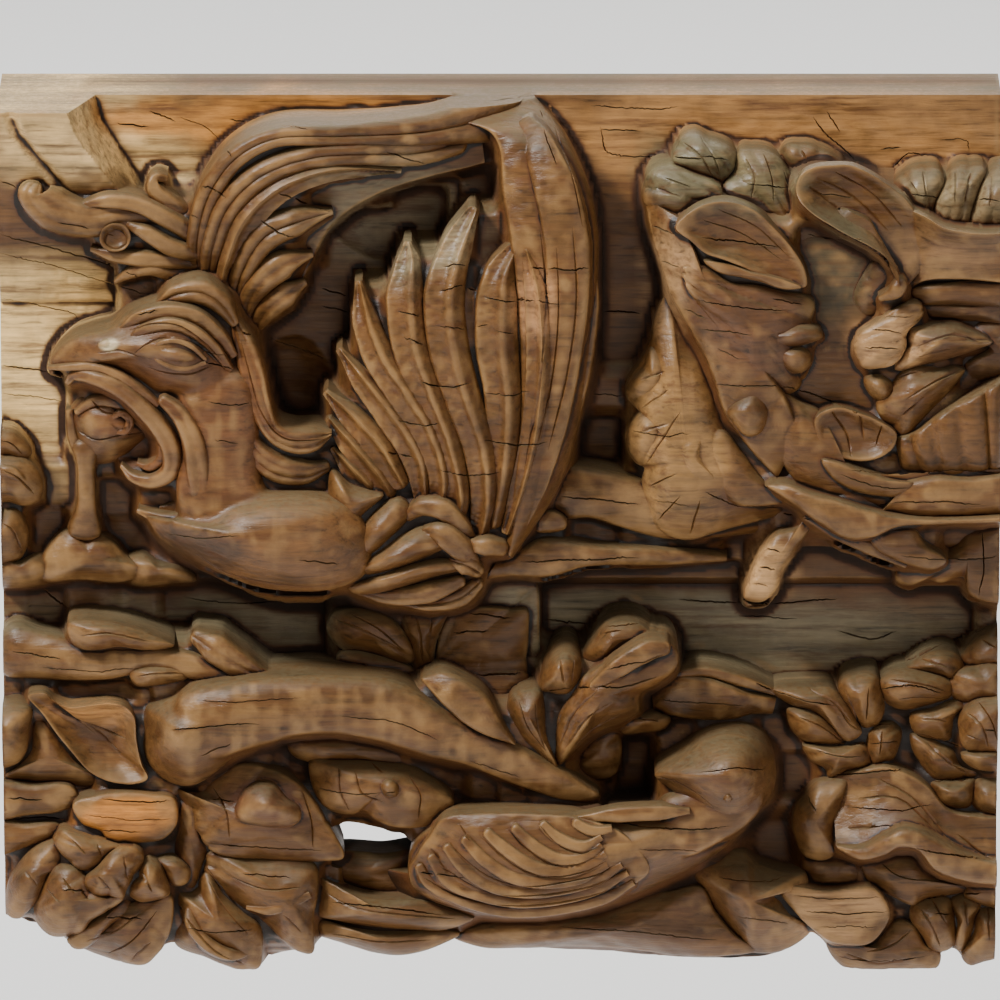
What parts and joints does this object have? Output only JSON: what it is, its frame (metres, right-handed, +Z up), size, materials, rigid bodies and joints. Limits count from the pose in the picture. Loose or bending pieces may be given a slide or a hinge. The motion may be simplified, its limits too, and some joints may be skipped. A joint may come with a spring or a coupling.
{
  "type": "carved door lintel",
  "caption": "Length of hardwood door lintel carved in high relief with a phoenix, a peony and a small bird among leaves, with a pierced, scalloped lower edge.",
  "frame": {"origin": "centre of the flat back, where the lintel is built in", "axes": "+X along the beam to the viewer's right, -Y out of the carved front, +Z up"},
  "size_m": [0.5, 0.1236, 0.4495],
  "materials": {
    "aged_hardwood": "worn satin with dust and dark grime in the recesses"
  },
  "bodies": {
    "root": {"carved_lintel": "aged_hardwood"}
  },
  "joints": []
}
